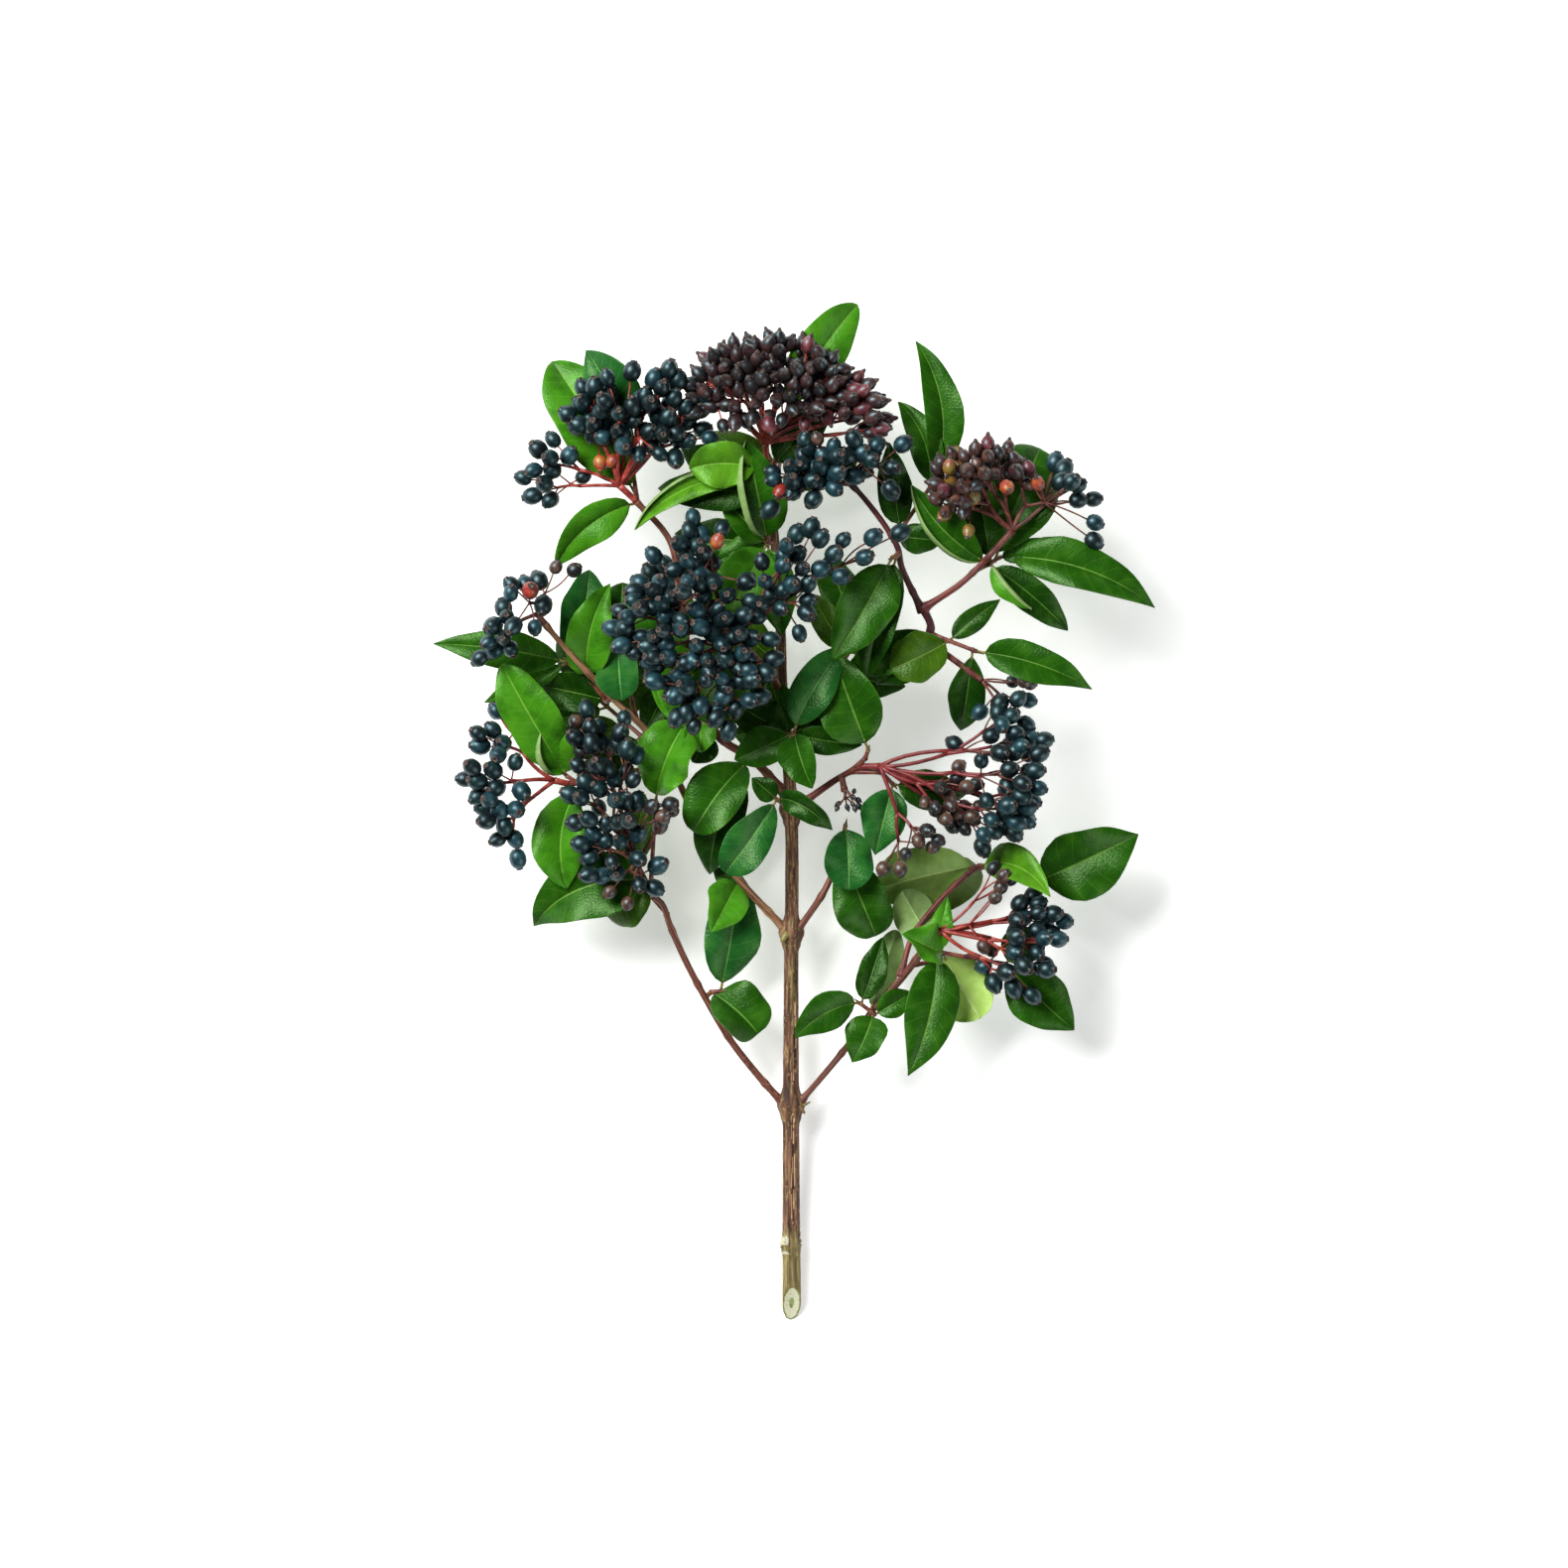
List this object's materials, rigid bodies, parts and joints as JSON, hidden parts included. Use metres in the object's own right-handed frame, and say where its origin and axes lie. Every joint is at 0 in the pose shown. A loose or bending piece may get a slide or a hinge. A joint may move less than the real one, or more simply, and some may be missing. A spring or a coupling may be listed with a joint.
{
  "type": "laurustinus branch",
  "caption": "Cut branch of laurustinus, an evergreen shrub, lying flat: a forked woody stem with a slanted cut end, pointed oval leaves and dense clusters of dark berries.",
  "frame": {"origin": "on the table, under the middle of the branch's bounding box", "axes": "+Y from the cut at the stem's foot to the tip of the crown, +X to the right seen from above with +Y up, +Z up from the table"},
  "size_m": [0.3051, 0.4302, 0.1039],
  "materials": {
    "bark": "rough grey-brown bark",
    "twig_bark": "smooth reddish-brown bark",
    "leaf": "satin dark green",
    "ripe_berry": "satin blue-black",
    "unripe_berry": "satin brown-purple"
  },
  "bodies": {
    "root": {"stem": "bark", "bough_low_left": "twig_bark", "bough_low_right": "twig_bark", "bough_right_side": "twig_bark", "bough_left": "twig_bark", "bough_left_side": "twig_bark", "bough_right": "twig_bark", "bough_top_left": "twig_bark", "bough_right_upper": "twig_bark", "bough_top_right": "twig_bark", "bough_top_right_inner": "twig_bark", "bough_top_right_outer": "twig_bark", "bough_front": "twig_bark", "bough_back": "twig_bark", "berries_top": "unripe_berry", "berries_top_left": "ripe_berry", "berries_top_centre": "ripe_berry", "berries_centre": "ripe_berry", "berries_top_right": "unripe_berry", "berries_far_left": "ripe_berry", "berries_left": "ripe_berry", "berries_low_left": "ripe_berry", "berries_right": "ripe_berry", "berries_low_right": "ripe_berry", "berries_back": "ripe_berry", "leaves_top_left": "leaf", "leaves_top": "leaf", "leaves_top_back": "leaf", "leaves_far_left": "leaf", "leaves_left_inner": "leaf", "leaves_left": "leaf", "leaves_low_left": "leaf", "leaves_low_left_node": "leaf", "leaves_left_foot": "leaf", "leaves_under_centre": "leaf", "leaves_top_left_foot": "leaf", "leaves_node": "leaf", "leaves_centre": "leaf", "leaves_low_right_node": "leaf", "leaves_low_right": "leaf", "leaves_right_foot": "leaf", "leaves_right": "leaf", "leaves_right_behind": "leaf", "leaves_right_knot": "leaf", "leaves_top_right": "leaf", "leaves_top_right_back": "leaf", "leaves_centre_right": "leaf", "leaves_right_upper": "leaf", "leaves_back_left": "leaf", "leaves_back_right": "leaf", "leaves_back_top": "leaf", "leaves_back_middle": "leaf", "leaves_back_low_left": "leaf", "leaves_back_low_right": "leaf"}
  },
  "joints": []
}
